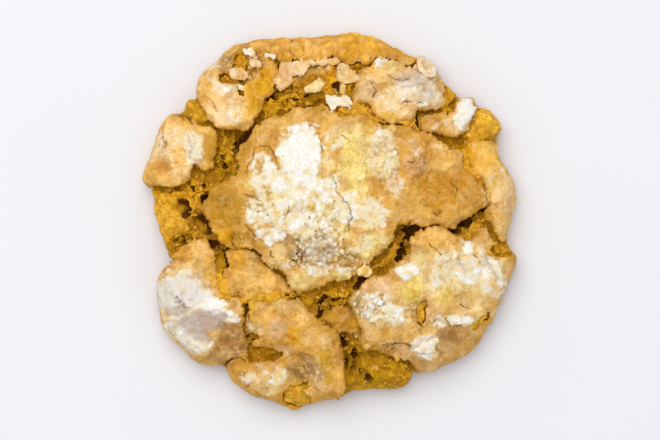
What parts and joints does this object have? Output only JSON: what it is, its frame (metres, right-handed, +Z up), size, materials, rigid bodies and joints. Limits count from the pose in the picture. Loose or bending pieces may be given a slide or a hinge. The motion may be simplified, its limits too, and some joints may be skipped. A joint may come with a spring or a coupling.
{
  "type": "lemon cheesecake cookie",
  "caption": "Round lemon cheesecake cookie with a cracked, sugared crust broken into plates over golden crumb.",
  "frame": {"origin": "middle of the flat foot that the cookie rests on", "axes": "+Z up through the dome, +X to the right and +Y away as seen from above"},
  "size_m": [0.083, 0.0835, 0.0179],
  "materials": {
    "crumb": "matte golden baked crumb",
    "crust": "matte pale crust dusted with powdered sugar"
  },
  "bodies": {
    "root": {"cookie": "crumb"}
  },
  "joints": []
}
